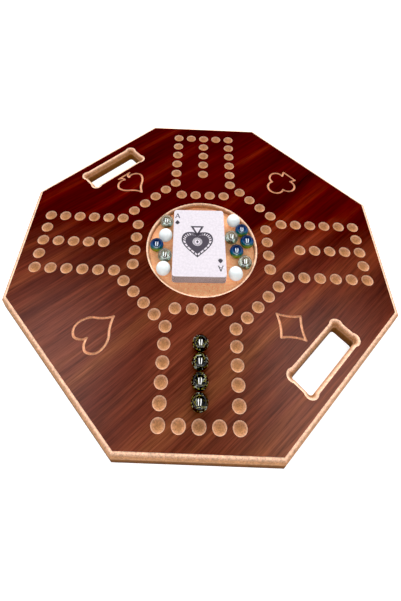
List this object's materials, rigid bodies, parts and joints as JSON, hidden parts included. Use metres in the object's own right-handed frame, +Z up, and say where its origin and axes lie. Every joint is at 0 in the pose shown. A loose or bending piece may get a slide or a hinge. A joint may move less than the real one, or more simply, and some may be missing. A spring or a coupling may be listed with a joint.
{
  "type": "marble race board game set",
  "caption": "Octagonal wood-look board with marble dimples, hand slots and routed suits; a round recess holds a card pack and loose marbles.",
  "frame": {"origin": "centre of the board's underside", "axes": "+Z up out of the playing face, +Y away from the front player, +X to that player's right"},
  "size_m": [0.404, 0.404, 0.0301],
  "materials": {
    "mdf": "raw routed MDF, matt",
    "laminate": "satin dark mahogany-look laminate",
    "card": "coated playing-card board",
    "white_marble": "opaque white glass",
    "clear_marble": "clear glass",
    "blue_marble": "deep blue glass",
    "black_marble": "black glass with yellow-green flecks"
  },
  "bodies": {
    "board": {"board_core": "mdf", "top_laminate": "laminate"},
    "pack": {"diamond_cards": "card", "club_cards": "card", "heart_cards": "card", "spade_cards": "card"},
    "top_card": {"ace_of_spades": "card"},
    "white_marble_1": {"white_marble_1": "white_marble"},
    "white_marble_2": {"white_marble_2": "white_marble"},
    "white_marble_3": {"white_marble_3": "white_marble"},
    "white_marble_4": {"white_marble_4": "white_marble"},
    "clear_marble_1": {"clear_marble_1": "clear_marble"},
    "clear_marble_2": {"clear_marble_2": "clear_marble"},
    "clear_marble_3": {"clear_marble_3": "clear_marble"},
    "clear_marble_4": {"clear_marble_4": "clear_marble"},
    "blue_marble_1": {"blue_marble_1": "blue_marble"},
    "blue_marble_2": {"blue_marble_2": "blue_marble"},
    "blue_marble_3": {"blue_marble_3": "blue_marble"},
    "blue_marble_4": {"blue_marble_4": "blue_marble"},
    "black_marble_1": {"black_marble_1": "black_marble"},
    "black_marble_2": {"black_marble_2": "black_marble"},
    "black_marble_3": {"black_marble_3": "black_marble"},
    "black_marble_4": {"black_marble_4": "black_marble"}
  },
  "joints": [
    {"name": "pack_lift", "type": "slide", "parent": "board", "child": "pack", "axis": [0, 0, 1], "range_m": [0, 0.035]},
    {"name": "top_card_lift", "type": "slide", "parent": "pack", "child": "top_card", "axis": [0, 0, 1], "range_m": [0, 0.035]},
    {"name": "white_marble_1_lift", "type": "slide", "parent": "board", "child": "white_marble_1", "axis": [0, 0, 1], "range_m": [0, 0.035]},
    {"name": "white_marble_2_lift", "type": "slide", "parent": "board", "child": "white_marble_2", "axis": [0, 0, 1], "range_m": [0, 0.035]},
    {"name": "white_marble_3_lift", "type": "slide", "parent": "board", "child": "white_marble_3", "axis": [0, 0, 1], "range_m": [0, 0.035]},
    {"name": "white_marble_4_lift", "type": "slide", "parent": "board", "child": "white_marble_4", "axis": [0, 0, 1], "range_m": [0, 0.035]},
    {"name": "clear_marble_1_lift", "type": "slide", "parent": "board", "child": "clear_marble_1", "axis": [0, 0, 1], "range_m": [0, 0.035]},
    {"name": "clear_marble_2_lift", "type": "slide", "parent": "board", "child": "clear_marble_2", "axis": [0, 0, 1], "range_m": [0, 0.035]},
    {"name": "clear_marble_3_lift", "type": "slide", "parent": "board", "child": "clear_marble_3", "axis": [0, 0, 1], "range_m": [0, 0.035]},
    {"name": "clear_marble_4_lift", "type": "slide", "parent": "board", "child": "clear_marble_4", "axis": [0, 0, 1], "range_m": [0, 0.035]},
    {"name": "blue_marble_1_lift", "type": "slide", "parent": "board", "child": "blue_marble_1", "axis": [0, 0, 1], "range_m": [0, 0.035]},
    {"name": "blue_marble_2_lift", "type": "slide", "parent": "board", "child": "blue_marble_2", "axis": [0, 0, 1], "range_m": [0, 0.035]},
    {"name": "blue_marble_3_lift", "type": "slide", "parent": "board", "child": "blue_marble_3", "axis": [0, 0, 1], "range_m": [0, 0.035]},
    {"name": "blue_marble_4_lift", "type": "slide", "parent": "board", "child": "blue_marble_4", "axis": [0, 0, 1], "range_m": [0, 0.035]},
    {"name": "black_marble_1_lift", "type": "slide", "parent": "board", "child": "black_marble_1", "axis": [0, 0, 1], "range_m": [0, 0.035]},
    {"name": "black_marble_2_lift", "type": "slide", "parent": "board", "child": "black_marble_2", "axis": [0, 0, 1], "range_m": [0, 0.035]},
    {"name": "black_marble_3_lift", "type": "slide", "parent": "board", "child": "black_marble_3", "axis": [0, 0, 1], "range_m": [0, 0.035]},
    {"name": "black_marble_4_lift", "type": "slide", "parent": "board", "child": "black_marble_4", "axis": [0, 0, 1], "range_m": [0, 0.035]}
  ]
}
